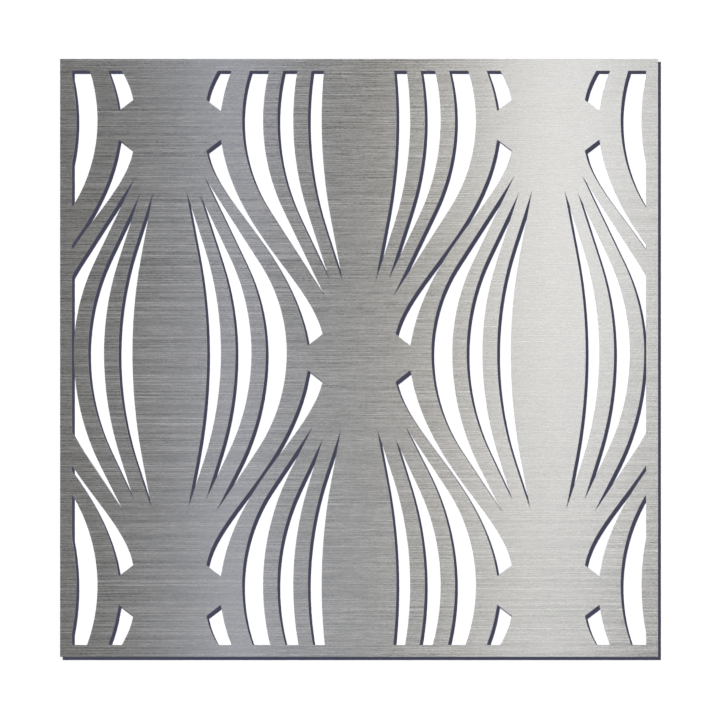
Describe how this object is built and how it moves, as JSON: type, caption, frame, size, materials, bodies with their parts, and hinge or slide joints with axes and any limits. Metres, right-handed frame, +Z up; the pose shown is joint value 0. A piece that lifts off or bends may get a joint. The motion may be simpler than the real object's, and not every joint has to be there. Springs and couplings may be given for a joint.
{
  "type": "decorative screen panel",
  "caption": "Flat sheet-metal screen with a mirrored lattice of long curved cut slots and a solid rim, held off a wall by concealed stud and sleeve fixings.",
  "frame": {"origin": "middle of the sheet, on the plane of the wall that the five pads press against", "axes": "+Z up the sheet, +X to the right seen from the front, +Y into the wall; the brushed face looks towards -Y"},
  "size_m": [1, 0.08, 1],
  "materials": {
    "brushed_sheet": "stainless steel brushed along X, with dark laser cut edges",
    "stud_steel": "bright rolled thread",
    "sleeve_steel": "fine turned",
    "washer_nylon": "natural moulded nylon",
    "pad_rubber": "punched sheet rubber"
  },
  "bodies": {
    "root": {"screen_sheet": "brushed_sheet", "weld_stud_centre": "stud_steel", "weld_stud_top_left": "stud_steel", "weld_stud_top_right": "stud_steel", "weld_stud_bottom_left": "stud_steel", "weld_stud_bottom_right": "stud_steel", "isolating_washer_centre": "washer_nylon", "isolating_washer_top_left": "washer_nylon", "isolating_washer_top_right": "washer_nylon", "isolating_washer_bottom_left": "washer_nylon", "isolating_washer_bottom_right": "washer_nylon", "spacer_sleeve_centre": "sleeve_steel", "spacer_sleeve_top_left": "sleeve_steel", "spacer_sleeve_top_right": "sleeve_steel", "spacer_sleeve_bottom_left": "sleeve_steel", "spacer_sleeve_bottom_right": "sleeve_steel", "wall_pad_centre": "pad_rubber", "wall_pad_top_left": "pad_rubber", "wall_pad_top_right": "pad_rubber", "wall_pad_bottom_left": "pad_rubber", "wall_pad_bottom_right": "pad_rubber"}
  },
  "joints": []
}
